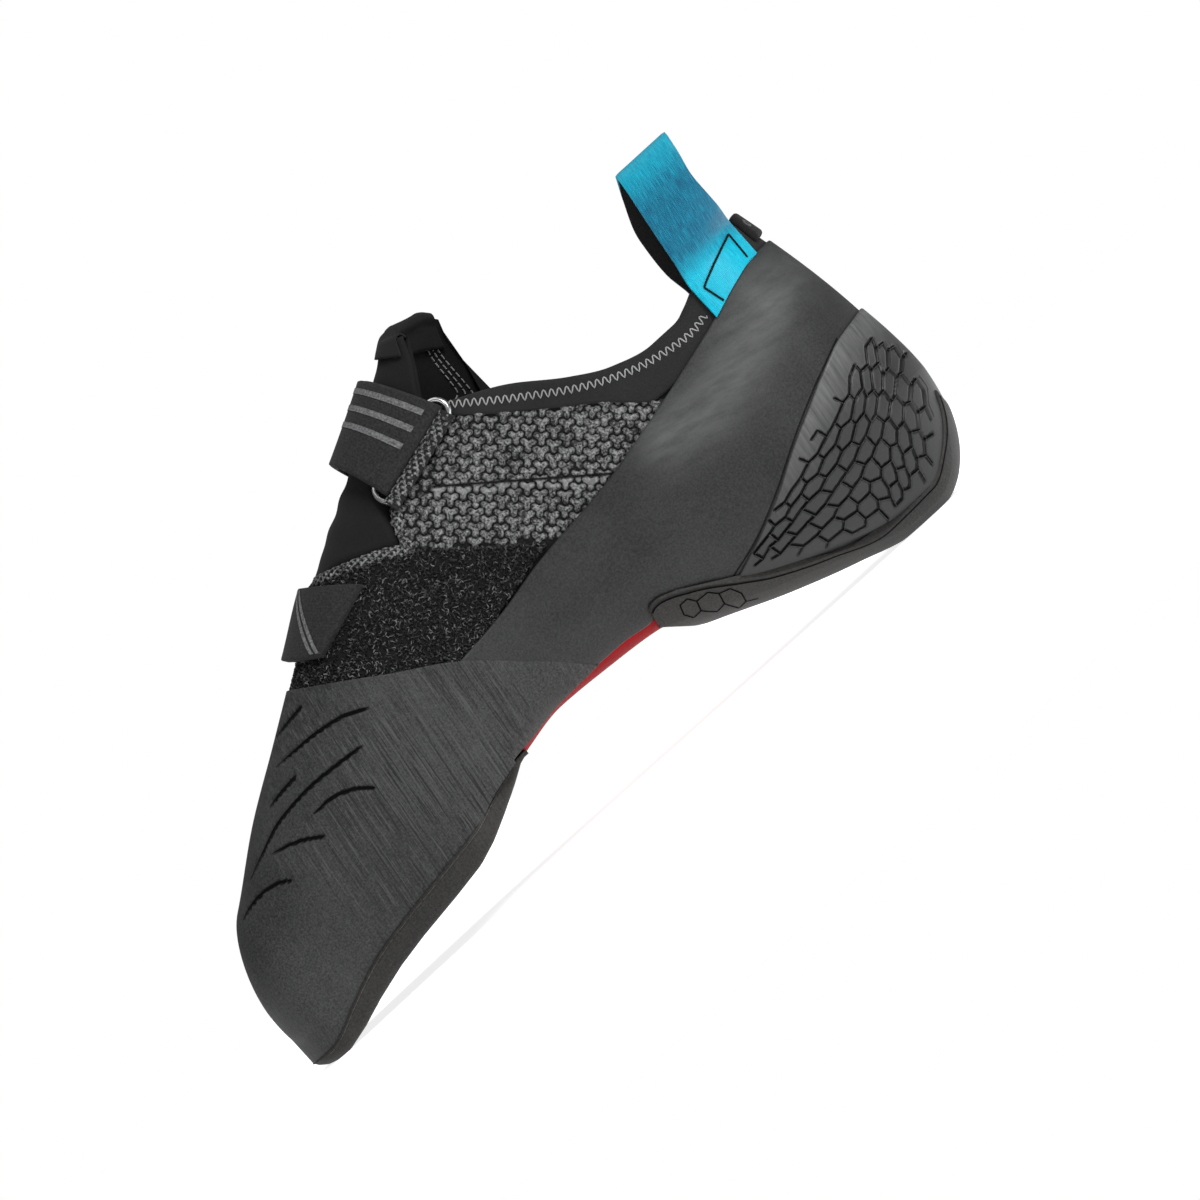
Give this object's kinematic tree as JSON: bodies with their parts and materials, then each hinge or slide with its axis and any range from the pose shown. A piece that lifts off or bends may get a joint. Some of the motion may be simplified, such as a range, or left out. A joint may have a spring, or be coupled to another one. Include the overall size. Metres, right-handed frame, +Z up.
{
  "type": "climbing shoe",
  "caption": "Downturned rock climbing shoe for the right foot with rubber toe patch, sling rand, heel cup, split sole, straps over the tongue and a blue heel loop.",
  "frame": {"origin": "middle of the box's bottom face, on the floor that the toe and heel stand on", "axes": "+X from toe to heel, +Y from the medial (big toe) side to the lateral side, +Z up"},
  "size_m": [0.2502, 0.0884, 0.1385],
  "materials": {
    "knit": "coarse grey and black knit",
    "board": "matt lining",
    "red_plate": "satin",
    "sole_rubber": "smooth",
    "rand_rubber": "lightly sanded",
    "cup_rubber": "moulded honeycomb grooves",
    "pile": "looped pile",
    "textile": "smooth binding",
    "stretch": "smooth stretch cloth",
    "webbing": "woven tape",
    "steel": "polished wire",
    "azure_tape": "satin webbing"
  },
  "bodies": {
    "root": {"upper": "knit", "insole": "board", "midsole": "red_plate", "front_outsole": "sole_rubber", "heel_sole": "sole_rubber", "toe_patch": "rand_rubber", "sling_rand": "rand_rubber", "heel_cup": "cup_rubber", "loop_patch": "pile", "collar_binding": "textile", "tongue": "stretch", "tongue_tab": "textile", "upper_strap": "webbing", "lower_strap": "webbing", "strap_ring": "steel", "pull_loop": "azure_tape", "heel_tab": "textile"}
  },
  "joints": []
}
